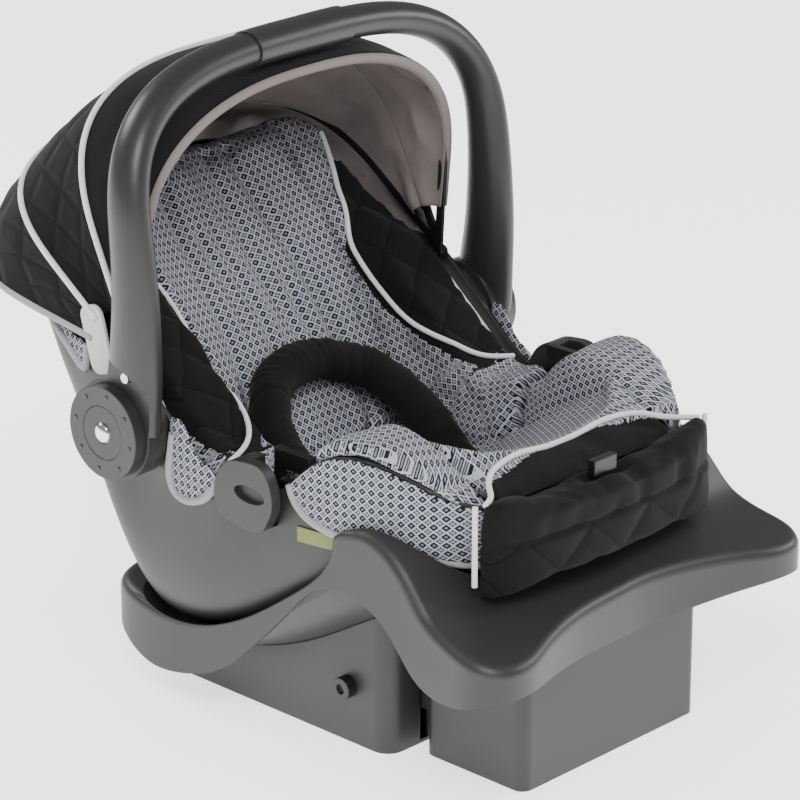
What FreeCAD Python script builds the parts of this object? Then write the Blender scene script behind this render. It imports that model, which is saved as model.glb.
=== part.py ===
import FreeCAD, Part
import math
import os
import re
import Sketcher

# Infant car seat: a rear-facing carrier with a swinging carry handle and a folding canopy,
# standing in its vehicle base.  Millimetres, +Z up, the ground is z = 0, the child's feet
# point to -Y and the head to +Y.  "Left" is the -X side.

vector = FreeCAD.Vector
doc = FreeCAD.newDocument("InfantCarSeat")
sheet = doc.addObject("Spreadsheet::Sheet", "Sizes")

drivingSizes = (
    # alias, value, what it measures
    ("carrierWidth", 376, "outside width of the carrier shell"),
    ("footReach", 262, "carrier shell, middle plane to foot end"),
    ("headReach", 280, "carrier shell, middle plane to head end"),
    ("shellWall", 4, "wall of the carrier shell"),
    ("foamThickness", 11.5, "energy absorbing liner"),
    ("gap", 0.3, "space between neighbouring pieces"),
    ("clothThickness", 3, "padded cloth that hangs outside the shell"),
    ("panelWidth", 272, "quilted roll round the foot end"),
    ("panelDepth", 28, "the same, standing out at its middle"),
    ("panelHeight", 84, "the same, top to bottom"),
    ("panelFoot", 166, "the same, lower edge above the ground"),
    ("padRise", 12, "cushion standing above the shell rim"),
    ("baseWidth", 368, "outside width of the base deck"),
    ("baseFront", 338, "base deck, middle plane to its front lobes"),
    ("baseRear", 126, "base deck, middle plane to its rear edge"),
    ("deckWall", 4, "wall of the base deck"),
    ("deckRound", 9, "rounding where the deck's top meets its skirt"),
    ("cradleGap", 8, "space round the carrier shell in the deck"),
    ("tubWidth", 264, "outside width of the tub"),
    ("tubFront", 168, "tub, middle plane to its front wall"),
    ("tubRear", 100, "tub, middle plane to its rear wall"),
    ("tubWall", 3.5, "wall and floor of the tub and the foot"),
    ("tubCorner", 16, "corner radius of the tub"),
    ("footWidth", 211, "outside width of the recline foot"),
    ("footGap", 14, "space between the tub and the foot"),
    ("footFront", 289, "recline foot, middle plane to its front wall"),
    ("axleForward", 123, "recline axle, forward of the middle plane"),
    ("axleHeight", 49, "recline axle above the ground"),
    ("axleRadius", 6, "recline axle"),
    ("knobRadius", 9.5, "knob on the end of the recline axle"),
    ("knobThickness", 9, "knob, along the axle"),
    ("latchBarRadius", 5, "steel bars that the carrier locks on"),
    ("rearBarY", 34, "rear latch bar, behind the middle plane"),
    ("rearBarHeight", 34, "rear latch bar above the ground"),
    ("frontBarY", 150, "front latch bar, forward of the middle plane"),
    ("frontBarHeight", 76, "front latch bar above the ground"),
    ("hubY", 60, "handle axis behind the middle plane"),
    ("hubHeight", 244, "handle axis above the ground"),
    ("hubRadius", 42, "round lower end of the handle arm"),
    ("hubCapRadius", 39, "outer hub cap"),
    ("hubCapThickness", 11, "outer hub cap, along the axis"),
    ("armGap", 4.4, "space between the shell and the handle arm"),
    ("armThickness", 21.6, "handle arm at the hub, along the axis"),
    ("archClear", 38, "handle, both sides, wider than the shell, at its centre line"),
    ("gripHeight", 526, "centre line of the grip above the ground"),
    ("archSpring", 406, "height where the handle starts to arch over"),
    ("gripLength", 107, "soft grip sleeve, along the handle"),
    ("gripSwell", 1.6, "grip sleeve standing out of the handle"),
    ("boltRadius", 6, "pivot bolt shank"),
    ("boltHeadRadius", 8.5, "pivot bolt head"),
    ("runningGap", 0.06, "radial clearance of a shaft in its bore"),
    ("buttonRadius", 22.5, "handle release button"),
    ("buttonTravel", 5, "inward travel of the handle release button"),
    ("canopyY", 66, "canopy pivot behind the middle plane"),
    ("canopyHeight", 298, "canopy pivot above the ground"),
    ("frontBowWidth", 350, "outside width of the front bow"),
    ("bowThickness", 2.6, "canopy bow, across its arch"),
    ("bowBreadth", 8, "canopy bow, along the canopy"),
    ("frontBowReach", 204, "front bow, pivot to crown"),
    ("middleBowReach", 218, "middle bow, pivot to crown"),
    ("rearBowReach", 216, "rear bow, pivot to crown"),
    ("hemReach", 240, "rear hem of the canopy, pivot to its back"),
    ("frontBowLean", -3.5, "degrees behind upright"),
    ("middleBowLean", 25, "degrees behind upright"),
    ("rearBowLean", 55, "degrees behind upright"),
    ("hemLean", 82, "degrees behind upright"),
    ("pillowRadius", 21, "section of the U-shaped body pillow"),
)

value = {}
for row, (alias, number, meaning) in enumerate(drivingSizes, start=1):
    sheet.set(f"A{row}", meaning)
    sheet.set(f"B{row}", str(number))
    sheet.setAlias(f"B{row}", alias)
    value[alias] = number
doc.recompute()

half = value["carrierWidth"] / 2
gap = value["gap"]
top = 430.0     # every hull runs up past the rim to this height and is then trimmed
sides = (("left", -1), ("right", 1))
finished = []


# ---------------------------------------------------------------- helpers

def bound(text):
    """An expression on the sheet, from one written with the bare aliases."""
    return re.sub(r"[A-Za-z]+", lambda word: f"Sizes.{word.group()}" if word.group() in value
                  else word.group(), text)


def bind(item, **expressions):
    for name, text in expressions.items():
        item.setExpression(name.replace("_", "."), bound(text))
    return item


def place(item, x="0", y="0", z="0", axis=(0, 0, 1), angle=0.0):
    item.Placement = FreeCAD.Placement(vector(), FreeCAD.Rotation(vector(*axis), angle))
    bind(item, Placement_Base_x=x, Placement_Base_y=y, Placement_Base_z=z)
    return item


def finish(item, label):
    item.Label = label
    finished.append(item)
    return item


def block(name, length, width, height, x="0", y="0", z="0", angle=0.0):
    """A box centred on x and y, standing on z, turned about the X direction."""
    item = doc.addObject("Part::Box", name)
    bind(item, Length=length, Width=width, Height=height)
    turn = FreeCAD.Rotation(vector(1, 0, 0), angle)
    item.Placement = FreeCAD.Placement(vector(), turn)
    reach = f"(({width})/2)"
    bind(item, Placement_Base_x=f"{x} - ({length})/2",
         Placement_Base_y=f"{y} - {reach} * cos({angle})",
         Placement_Base_z=f"{z} - {reach} * sin({angle})")
    return item


def rod(name, radius, length, x, y, z, direction=(1, 0, 0)):
    """A cylinder that starts at x, y, z and runs along the direction."""
    item = doc.addObject("Part::Cylinder", name)
    bind(item, Radius=radius, Height=length)
    item.Placement = FreeCAD.Placement(vector(), FreeCAD.Rotation(vector(0, 0, 1),
                                                                  vector(*direction)))
    bind(item, Placement_Base_x=x, Placement_Base_y=y, Placement_Base_z=z)
    return item


def cut(name, base, *tools):
    for count, tool in enumerate(tools):
        item = doc.addObject("Part::Cut", f"{name}Cut{count}")
        item.Base = base
        item.Tool = tool
        base = item
    return base


def join(name, *pieces):
    item = doc.addObject("Part::MultiFuse", name)
    item.Shapes = list(pieces)
    return item


def solid(name, shape):
    """A shape that only Part's own functions make, as an object of the document."""
    item = doc.addObject("Part::Feature", name)
    item.Shape = shape
    return item


def sketchBody(name, role):
    """A body with one sketch on one of its own origin planes."""
    body = doc.addObject("PartDesign::Body", name)
    sketch = body.newObject("Sketcher::SketchObject", f"{name}Sketch")
    attach(body, sketch, role)
    return body, sketch


def attach(body, sketch, role):
    plane = [item for item in body.Origin.OriginFeatures if item.Role == role][0]
    sketch.AttachmentSupport = (plane, [""])
    sketch.MapMode = "FlatFace"


def drawCircle(sketch, radius):
    number = sketch.addGeometry(Part.Circle(vector(), vector(0, 0, 1), 5), False)
    sketch.addConstraint(Sketcher.Constraint("Coincident", number, 3, -1, 1))
    size = sketch.addConstraint(Sketcher.Constraint("Radius", number, 5))
    sketch.setExpression(f"Constraints[{size}]", bound(radius))


def drawRectangle(sketch, width, height):
    """A rectangle centred on the sketch's origin."""
    corners = [vector(-5, -5), vector(5, -5), vector(5, 5), vector(-5, 5)]
    for index in range(4):
        sketch.addGeometry(Part.LineSegment(corners[index], corners[(index + 1) % 4]), False)
    for index in range(4):
        sketch.addConstraint(Sketcher.Constraint("Coincident", index, 2, (index + 1) % 4, 1))
    for index, way in enumerate(("Horizontal", "Vertical") * 2):
        sketch.addConstraint(Sketcher.Constraint(way, index))
    sketch.addConstraint(Sketcher.Constraint("Symmetric", 0, 1, 2, 1, -1, 1))
    across = sketch.addConstraint(Sketcher.Constraint("DistanceX", 0, 1, 0, 2, 10))
    up = sketch.addConstraint(Sketcher.Constraint("DistanceY", 1, 1, 1, 2, 10))
    sketch.setExpression(f"Constraints[{across}]", bound(width))
    sketch.setExpression(f"Constraints[{up}]", bound(height))


def pad(body, sketch, length, backwards=False):
    item = body.newObject("PartDesign::Pad", f"{sketch.Name}Pad")
    item.Profile = sketch
    item.Reversed = backwards
    item.setExpression("Length", bound(length))
    sketch.Visibility = False
    return item


def pocket(body, sketch, length, backwards=False):
    item = body.newObject("PartDesign::Pocket", f"{sketch.Name}Pocket")
    item.Profile = sketch
    item.Reversed = backwards
    item.setExpression("Length", bound(length))
    return item


def secondSketch(body, name, role):
    sketch = body.newObject("Sketcher::SketchObject", name)
    attach(body, sketch, role)
    return sketch


def smooth(points):
    curve = Part.BSplineCurve()
    curve.interpolate([vector(*point) for point in points])
    return curve.toShape()


def segment(start, end):
    return Part.LineSegment(vector(*start), vector(*end)).toShape()


def sidePrism(edges, reach=260.0):
    """A closed outline in the YZ plane, extruded across the whole width."""
    face = Part.Face(Part.Wire(Part.__sortEdges__(edges)))
    face.translate(vector(-reach, 0, 0))
    return face.extrude(vector(2 * reach, 0, 0))


def slab(low, high):
    """A plain box between two corners, as a trimming tool."""
    size = [high[axis] - low[axis] for axis in range(3)]
    return Part.makeBox(*size, vector(*low))


def alongY(share):
    """A place along the carrier, from -1 at the foot end to 1 at the head end."""
    reach = value["footReach"] if share < 0 else value["headReach"]
    return share * reach


# ---------------------------------------------------------------- the hull

# Each station of the carrier hull: place along it, share of the half width, height of the
# belly, height where the side turns upright, and how square the section is.
hullStations = (
    (-1.00, 0.50, 172, 222, 2.3),
    (-0.95, 0.64, 160, 220, 2.4),
    (-0.85, 0.77, 148, 218, 2.6),
    (-0.67, 0.88, 128, 214, 2.9),
    (-0.45, 0.945, 98, 208, 3.2),
    (-0.22, 0.98, 70, 204, 3.8),
    (0.00, 1.00, 55, 204, 4.6),
    (0.20, 1.00, 56, 222, 5.0),
    (0.33, 1.00, 92, 244, 4.4),
    (0.43, 0.985, 148, 264, 4.0),
    (0.54, 0.955, 208, 286, 3.7),
    (0.65, 0.91, 258, 306, 3.4),
    (0.77, 0.84, 300, 330, 3.2),
    (0.89, 0.73, 330, 350, 3.0),
    (1.00, 0.50, 350, 362, 3.0),
)


def section(y, width, belly, waist, squareness, ceiling=top):
    """One U-shaped section of a hull, closed along its top."""
    points = []
    count = 16
    for step in range(count + 1):
        turn = math.pi * step / count
        power = 2 / squareness
        across = math.copysign(abs(math.cos(turn)) ** power, math.cos(turn))
        drop = abs(round(math.sin(turn), 12)) ** power
        points.append((width * across, y, waist - (waist - belly) * drop))
    left = (-width, y)
    right = (width, y)
    return Part.Wire([
        smooth(points),
        segment((*left, waist), (*left, ceiling)),
        segment((*left, ceiling), (*right, ceiling)),
        segment((*right, ceiling), (*right, waist)),
    ])


def offsetLoft(stations, inset, halfWidth, upright, ceiling=top):
    """A hull through stations, drawn in along its own slope, or grown by a negative inset."""
    line = [(alongY(share), low) for share, width, low, waist, square in stations]
    wires = []
    for index, (share, width, low, waist, square) in enumerate(stations):
        before = line[max(index - 1, 0)]
        after = line[min(index + 1, len(line) - 1)]
        run = math.dist(before, after)
        y = line[index][0] + inset * (before[1] - after[1]) / run
        if index == 0:
            y = line[0][0] + inset
        if index == len(stations) - 1 and upright:
            y = line[-1][0] - inset
        floor = low + inset * (after[0] - before[0]) / run
        wires.append(section(y, width * halfWidth - inset, floor, max(waist, floor + 12),
                             square, ceiling))
    return Part.makeLoft(wires, True, False)


def hull(inset):
    """The carrier's outer form."""
    return offsetLoft(hullStations, inset, half, True)


# The rim runs from the foot end, over the leg rest, down to the belt notch beside the hips,
# up past the handle hubs and round the head end.
rimLine = (
    (-1.10, 226), (-0.93, 240), (-0.76, 262), (-0.58, 266), (-0.47, 250), (-0.38, 228),
    (-0.27, 218), (-0.15, 216), (-0.06, 226), (0.05, 250), (0.17, 278), (0.27, 298),
    (0.40, 306), (0.52, 310), (0.62, 326), (0.72, 352), (0.84, 366), (1.10, 372),
)


# how much higher than that the pads reach round the child's head
headRise = (
    (-1.10, 0), (-0.47, 0), (0.17, 0), (0.34, 4), (0.46, 24), (0.60, 44), (0.72, 38), (0.84, 12),
    (1.10, 0),
)


def extraRise(share):
    for (before, low), (after, high) in zip(headRise[:-1], headRise[1:]):
        if before <= share <= after:
            return low + (high - low) * (share - before) / (after - before)


def aboveRim(rise, head=0):
    """The space above the rim, lifted by a rise and by a share of the head rise."""
    points = [(0, alongY(share), height + rise + head * extraRise(share))
              for share, height in rimLine]
    start = points[0]
    end = points[-1]
    lid = top + 20
    return sidePrism([
        smooth(points),
        segment(end, (0, end[1], lid)),
        segment((0, end[1], lid), (0, start[1], lid)),
        segment((0, start[1], lid), start),
    ])


outerHull = hull(0)
wall = value["shellWall"]
foamOuter = wall + gap
padOuter = foamOuter + value["foamThickness"] + gap
deckHull = hull(-value["cradleGap"])


def hubAxis(side, inner, length, radius):
    """A plain cylinder on the handle's axis, from an inner distance outwards."""
    centre = vector(side * inner, value["hubY"], value["hubHeight"])
    return Part.makeCylinder(radius, length, centre, vector(side, 0, 0))


# ---------------------------------------------------------------- base

def planOutline(inset):
    """The deck seen from above: straight sides, round rear corners, lobed front."""
    width = value["baseWidth"] / 2 - inset
    front = -value["baseFront"] + inset
    rear = value["baseRear"] - inset
    rightSide = [
        (0.0, front + 32), (0.34 * width, front + 27), (0.64 * width, front + 12),
        (0.84 * width, front + 1), (0.97 * width, front + 5), (1.04 * width, front + 22),
        (1.04 * width, front + 50), (1.005 * width, front + 100), (0.98 * width, front + 180),
        (0.98 * width, rear - 110),
        (0.975 * width, rear - 52), (0.90 * width, rear - 16), (0.70 * width, rear),
        (0.35 * width, rear),
    ]
    leftSide = [(-x, y) for x, y in reversed(rightSide[1:])]
    curve = Part.BSplineCurve()
    points = [vector(x, y, 0) for x, y in rightSide + leftSide]
    curve.interpolate(Points=points, PeriodicFlag=True)
    return Part.Face(Part.Wire(curve.toShape())).extrude(vector(0, 0, 260))


# The wavy skirt: crest and lower edge, from the front lobes to the rear corner.
crestLine = (
    (-345, 140), (-311, 150), (-280, 158), (-259, 168), (-238, 190), (-211, 210), (-188, 216),
    (-168, 213), (-143, 205), (-119, 188), (-84, 149), (-49, 114), (-16, 92), (16, 82),
    (60, 82), (100, 87), (130, 88),
)
hemLine = (
    (-345, 120), (-315, 112), (-280, 104), (-248, 111), (-227, 130), (-206, 148), (-173, 158),
    (-140, 154), (-107, 126), (-78, 96), (-49, 68), (-16, 43), (17, 31), (60, 28),
    (98, 42), (130, 56),
)


def under(line, rise):
    """The part of space below one of the skirt's lines."""
    points = [(0, y, z + rise) for y, z in line]
    start = points[0]
    end = points[-1]
    return sidePrism([
        smooth(points),
        segment(end, (0, end[1], -60)),
        segment((0, end[1], -60), (0, start[1], -60)),
        segment((0, start[1], -60), start),
    ])


def upright(box):
    return [edge for edge in box.Edges if abs(edge.BoundBox.ZLength - top) < 1]


def roundedSpace(width, front, rear, corner):
    """A tall box with round upright corners, centred on the middle plane."""
    box = Part.makeBox(width, rear - front, top, vector(-width / 2, front, -1))
    return box.makeFillet(corner, upright(box))


def tubSpace(inset):
    return roundedSpace(value["tubWidth"] - 2 * inset, -value["tubFront"] + inset,
                        value["tubRear"] - inset, value["tubCorner"] - inset)


footRear = value["tubFront"] + value["footGap"]
footCorner = value["tubCorner"] * 0.6


def footSpace(inset):
    return roundedSpace(value["footWidth"] - 2 * inset, -value["footFront"] + inset,
                        -footRear - inset, footCorner - inset)


def acrossX(y, z, radius, reach=200.0):
    """A plain cylinder along X, right across the object."""
    return Part.makeCylinder(radius, 2 * reach, vector(-reach, y, z), vector(1, 0, 0))


latchWell = slab((-82, -70, -50), (82, 92, 200))
deckReach = value["cradleGap"] + value["deckWall"]
underSheet = value["deckWall"] + gap


def crestEdges(shape):
    """The edges where the wavy top meets the upright outside."""
    return [edge for edge in shape.Edges
            if edge.BoundBox.ZMin > 60 and edge.BoundBox.ZLength < 140
            and max(edge.BoundBox.XLength, edge.BoundBox.YLength) > 30]


def baseDeck():
    """The wavy skirt with its top sheet, and the cradle that follows the carrier."""
    thick = value["deckWall"]
    outside = planOutline(0).common(under(crestLine, 0))
    outside = outside.makeFillet(value["deckRound"], crestEdges(outside))
    skirt = outside.cut(under(hemLine, 0))
    skirt = skirt.cut(planOutline(thick).common(under(crestLine, -thick)))
    cradle = hull(-deckReach).common(planOutline(thick / 2)).common(under(crestLine, -thick / 2))
    shape = skirt.fuse(cradle).cut(deckHull).cut(latchWell)
    solids = sorted(shape.Solids, key=lambda piece: piece.Volume)
    return solids[-1]


def baseTub():
    """The box that stands on the car seat, open at the top under the cradle."""
    thick = value["tubWall"]
    floor = slab((-300, -400, -1), (300, 400, thick))
    shape = tubSpace(0).cut(tubSpace(thick).cut(floor))
    shape = shape.cut(slab((-300, -400, -10), (300, 400, 0)))
    shape = shape.cut(hull(-deckReach - gap)).common(under(crestLine, -underSheet))
    axle = acrossX(-value["axleForward"], value["axleHeight"],
                   value["axleRadius"] + value["runningGap"])
    shape = shape.cut(axle)
    for side, sign in sides:
        shape = shape.cut(armSlot(sign))
    solids = sorted(shape.Solids, key=lambda piece: piece.Volume)
    return solids[-1]


armInner = value["footWidth"] / 2 - 18.0     # the foot's pivot arms, inside its side walls
armBreadth = 6.0


def armSlot(sign):
    """The slot in the tub's front wall that one pivot arm of the foot swings in."""
    low = min(sign * (armInner - 2), sign * (armInner + armBreadth + 2))
    return slab((low, -value["tubFront"] - 5, value["tubWall"]),
                (low + armBreadth + 4, -value["tubFront"] + 22, value["axleHeight"] + 45))


def reclineFoot():
    """The block that swings down to level the base, with two arms back to its axle."""
    thick = value["tubWall"]
    floor = slab((-300, -400, -1), (300, 400, thick))
    shape = footSpace(0).cut(footSpace(thick).cut(floor))
    shape = shape.cut(slab((-300, -400, -10), (300, 400, 0)))
    shape = shape.cut(hull(-deckReach - 3)).common(under(hemLine, 14)).common(under(crestLine, -underSheet))
    y = -value["axleForward"]
    z = value["axleHeight"]
    for side, sign in sides:
        start = min(sign * armInner, sign * (armInner + armBreadth))
        plate = slab((start, -footRear - thick / 2, z - 18), (start + armBreadth, y, z + 18))
        eye = Part.makeCylinder(18, armBreadth, vector(start, y, z), vector(1, 0, 0))
        shape = shape.fuse(plate.fuse(eye))
    shape = shape.cut(acrossX(y, z, value["axleRadius"] + value["runningGap"]))
    solids = sorted(shape.Solids, key=lambda piece: piece.Volume)
    return solids[-1].removeSplitter()


finish(solid("Tub", baseTub()), "base_tub")
finish(solid("Deck", baseDeck()), "base_deck")
finish(solid("Foot", reclineFoot()), "recline_foot")

tubInside = "(tubWidth - 2 * tubWall - gap)"
finish(rod("RearBar", "latchBarRadius", tubInside, f"-{tubInside} / 2", "rearBarY",
           "rearBarHeight"), "latch_bar_rear")
finish(rod("FrontBar", "latchBarRadius", tubInside, f"-{tubInside} / 2", "-frontBarY",
           "frontBarHeight"), "latch_bar_front")
finish(rod("Axle", "axleRadius", "tubWidth", "-tubWidth / 2", "-axleForward", "axleHeight"),
       "recline_axle")

for side, sign in sides:
    body, sketch = sketchBody(f"Knob{side}", "YZ_Plane")
    drawCircle(sketch, "knobRadius")
    pad(body, sketch, "knobThickness", backwards=sign < 0)
    recess = secondSketch(body, f"KnobRecess{side}", "YZ_Plane")
    drawCircle(recess, "knobRadius * 0.45")
    doc.recompute()
    recess.AttachmentOffset = FreeCAD.Placement(vector(0, 0, sign * value["knobThickness"]),
                                                FreeCAD.Rotation())
    pocket(body, recess, "knobThickness * 0.3", backwards=sign < 0)
    place(body, f"{sign} * (tubWidth / 2 + gap)", "-axleForward", "axleHeight")
    finish(body, f"recline_knob_{side}")


# ---------------------------------------------------------------- carrier shell

pawlInner = 50.0
pawlBreadth = 6.0
pawlShaftRadius = 3.0
pawlY = value["rearBarY"] + 26.0
pawlZ = value["rearBarHeight"] + 10.0
bossRadius = value["hubRadius"] - 4
bossReach = value["armGap"] - gap


def carrierShell():
    shape = outerHull.cut(hull(wall))
    for side, sign in sides:
        shape = shape.fuse(hubAxis(sign, half - wall + 0.5, wall - 0.5 + bossReach, bossRadius))
        lug = slab((-4, pawlY - 8, pawlZ - 7), (4, pawlY + 8, hullStations[7][2] + 2))
        lug.translate(vector(sign * (pawlInner + pawlBreadth + 5), 0, 0))
        shape = shape.fuse(lug)
    shape = shape.cut(aboveRim(0))
    bolt = acrossX(value["hubY"], value["hubHeight"], value["boltRadius"] + value["runningGap"],
                   half + 30)
    shape = shape.cut(bolt)
    return shape.cut(acrossX(pawlY, pawlZ, pawlShaftRadius + value["runningGap"]))


finish(solid("Shell", carrierShell()), "carrier_shell")

hookY = alongY(-0.36)


def hookSpace(room):
    """Where the belt hooks stand inside the rim, with some room round them."""
    shape = slab((-half, hookY - 21 - room, 196 - room), (half, hookY + 21 + room, 300))
    middle = slab((-half + 34 + room, -300, 0), (half - 34 - room, 300, 400))
    return shape.cut(middle)


nutReach = 16.0     # the pivot bolt's nut stands this far into the liner


def nutSpace(room):
    radius = value["boltHeadRadius"] + 2 + room
    spaces = [hubAxis(sign, half - wall - nutReach, nutReach + wall, radius)
              for side, sign in sides]
    return spaces[0].fuse(spaces[1])


def foamLiner():
    shape = hull(foamOuter).cut(hull(padOuter - gap)).cut(aboveRim(-14))
    return shape.cut(hookSpace(gap)).cut(nutSpace(gap))


finish(solid("Foam", foamLiner()), "foam_liner")

# Each station of the hollow that the child lies in: place, share of the half width, height of
# the cushion's face, height where its side turns upright, how square it is.
hollowStations = (
    (-0.90, 0.415, 252, 322, 2.6),
    (-0.78, 0.52, 236, 306, 2.8),
    (-0.62, 0.565, 214, 284, 3.0),
    (-0.44, 0.585, 188, 258, 3.2),
    (-0.22, 0.605, 152, 236, 3.4),
    (0.00, 0.62, 150, 236, 3.4),
    (0.13, 0.62, 178, 262, 3.4),
    (0.30, 0.62, 256, 330, 3.4),
    (0.46, 0.605, 312, 382, 3.2),
    (0.62, 0.565, 362, 432, 3.0),
    (0.74, 0.49, 398, 468, 2.8),
)


def seatHollow(grown):
    return offsetLoft(hollowStations, -grown, half, False, top + 60)


hollow = seatHollow(0)
footOver = slab((-300, -value["footReach"] + 0.5, 0), (300, alongY(-0.48), 600))
overRim = hull(-gap - value["clothThickness"]).common(aboveRim(gap)).common(footOver)
cushionHull = hull(padOuter).fuse(overRim).cut(aboveRim(value["padRise"], 1)).cut(hollow)
cushionHull = cushionHull.cut(slab((-300, alongY(0.89), 0), (300, 400, 600)))
cushionHull = cushionHull.cut(hookSpace(2 * gap)).cut(nutSpace(2 * gap))
wingLine = 108 * half / 188     # the seams between the middle cushions and the side wings
legSeam = alongY(-0.33)


seatSeam = 34.0


def cushion(lowX, highX, front, rear):
    piece = cushionHull.common(slab((lowX, front, 0), (highX, rear, 600)))
    solids = sorted(piece.Solids, key=lambda one: one.Volume)
    return solids[-1]


def cushions():
    inner = wingLine - gap
    yield "seat_cushion", cushion(-inner, inner, -400, seatSeam)
    yield "back_cushion", cushion(-inner, inner, seatSeam + gap, 400)
    for side, sign in sides:
        low = min(sign * wingLine, sign * 300)
        high = max(sign * wingLine, sign * 300)
        yield f"leg_bolster_{side}", cushion(low, high, -400, legSeam)
        yield f"wing_pad_{side}", cushion(low, high, legSeam + gap, 400)


for label, shape in cushions():
    finish(solid(label.title().replace("_", ""), shape), label)


# ---------------------------------------------------------------- cloth outside the shell

def sidePiece(outline, low, high):
    """A closed outline seen from the side, as a prism between two X places."""
    points = [vector(low, y, z) for y, z in outline]
    face = Part.Face(Part.makePolygon(points + points[:1]))
    return face.extrude(vector(high - low, 0, 0))


def roundedPiece(outline, low, high):
    """The same with a smooth closed outline."""
    curve = Part.BSplineCurve()
    curve.interpolate(Points=[vector(low, y, z) for y, z in outline], PeriodicFlag=True)
    return Part.Face(Part.Wire(curve.toShape())).extrude(vector(high - low, 0, 0))


hubFlapOutline = (
    (-24, 228), (-34, 214), (-22, 199), (-2, 191), (15, 193), (20, 212), (18, 236), (14, 262),
    (10, 262),
)
legFlapOutline = (
    (-261.8, 320), (-261.8, 180), (-235, 189), (-205, 195), (-175, 198), (-146, 203),
    (-124, 210), (-112, 222), (-107, 236), (-110, 250), (-120, 262), (-122, 320),
)
rearFlapOutline = ((118, 268), (117, 297), (176, 305), (160, 296), (140, 283))
clothHull = hull(-gap - value["clothThickness"]).cut(hull(-gap))


def largest(shape):
    return sorted(shape.Solids, key=lambda piece: piece.Volume)[-1]


for side, sign in sides:
    reach = sign * (half + 20)
    hubFlap = clothHull.common(roundedPiece(hubFlapOutline, sign * 60, reach))
    legFlap = clothHull.common(sidePiece(legFlapOutline, sign * 60, reach)).cut(aboveRim(0))
    rearFlap = clothHull.common(sidePiece(rearFlapOutline, sign * 60, reach))
    finish(solid(f"HubFlap{side}", largest(hubFlap)), f"hub_flap_{side}")
    finish(solid(f"LegFlap{side}", largest(legFlap)), f"leg_flap_{side}")
    finish(solid(f"RearFlap{side}", largest(rearFlap)), f"rear_flap_{side}")


def frontPanel():
    """The quilted roll round the foot end, deepest at its middle."""
    face = -value["footReach"] - gap
    reach = value["panelWidth"] / 2
    depth = value["panelDepth"]
    bow = [(-reach, face), (-reach + 1, face - 0.42 * depth), (-0.74 * reach, face - 0.82 * depth),
           (0, face - depth), (0.74 * reach, face - 0.82 * depth),
           (reach - 1, face - 0.42 * depth), (reach, face)]
    outline = Part.Wire([
        smooth([(x, y, 0) for x, y in bow]),
        segment((reach, face, 0), (-reach, face, 0)),
    ])
    roll = Part.Face(outline).extrude(vector(0, 0, value["panelHeight"]))
    roll.translate(vector(0, 0, value["panelFoot"]))
    return roll.makeFillet(8, lipEdges(roll))


def lipEdges(shape):
    """The front edges of the roll's top and bottom faces."""
    return [edge for edge in shape.Edges
            if edge.BoundBox.ZLength < 0.1 and edge.BoundBox.YLength > 5]


finish(solid("FrontPanel", frontPanel()), "front_panel")


pillowTilt = 37.0


def bodyPillow():
    """A U-shaped tube that lies on the seat, open towards the feet."""
    radius = value["pillowRadius"]
    arm = wingLine - radius - 8
    bend = arm
    low = vector(-arm, -70, 0)
    start = vector(-arm, 0, 0)
    path = Part.Wire([
        Part.LineSegment(low, start).toShape(),
        Part.Arc(start, vector(0, bend, 0), vector(arm, 0, 0)).toShape(),
        Part.LineSegment(vector(arm, 0, 0), vector(arm, -70, 0)).toShape(),
    ])
    ring = Part.Wire(Part.Circle(low, vector(0, 1, 0), radius).toShape())
    tube = path.makePipeShell([ring], True, True)
    tube.rotate(vector(), vector(1, 0, 0), pillowTilt)
    tube.translate(vector(0, -2, 196))
    return tube.common(hollow)


finish(solid("Pillow", bodyPillow()), "body_pillow")

guideOutline = (
    (-102, 208), (-102, 236), (-93, 247), (-74, 248), (-56, 244), (-46, 234), (-40, 216),
    (-45, 200), (-70, 192), (-95, 196),
)


def beltGuide(sign):
    """The hump beside the hips that the lap belt runs over, with an oval recess."""
    inner = sign * (half - 15)
    outer = sign * (half + 10)
    shape = roundedPiece(guideOutline, inner, outer)
    shape = shape.cut(hull(-gap)).fuse(shape.common(aboveRim(gap)))
    shape = shape.cut(hookSpace(gap))
    recess = Part.makeCylinder(1, 1)
    oval = FreeCAD.Matrix()
    oval.scale(7, 17, 7)
    recess = recess.transformGeometry(oval)
    recess.rotate(vector(), vector(0, 1, 0), 90)
    recess.translate(vector(outer - sign * 5 - (0 if sign > 0 else 7), -80, 222))
    return largest(shape.cut(recess))


for side, sign in sides:
    finish(solid(f"Guide{side}", beltGuide(sign)), f"belt_guide_{side}")
    plate = block(f"Hook{side}", "7", "40", "44", f"{sign} * (carrierWidth / 2 - 27)",
                  f"{hookY}", "208")
    slot = block(f"HookSlot{side}", "20", "26", "10", f"{sign} * (carrierWidth / 2 - 27)",
                 f"{hookY}", "226")
    finish(cut(f"Hook{side}", plate, slot), f"belt_hook_{side}")


# ---------------------------------------------------------------- carrier fittings

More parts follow.
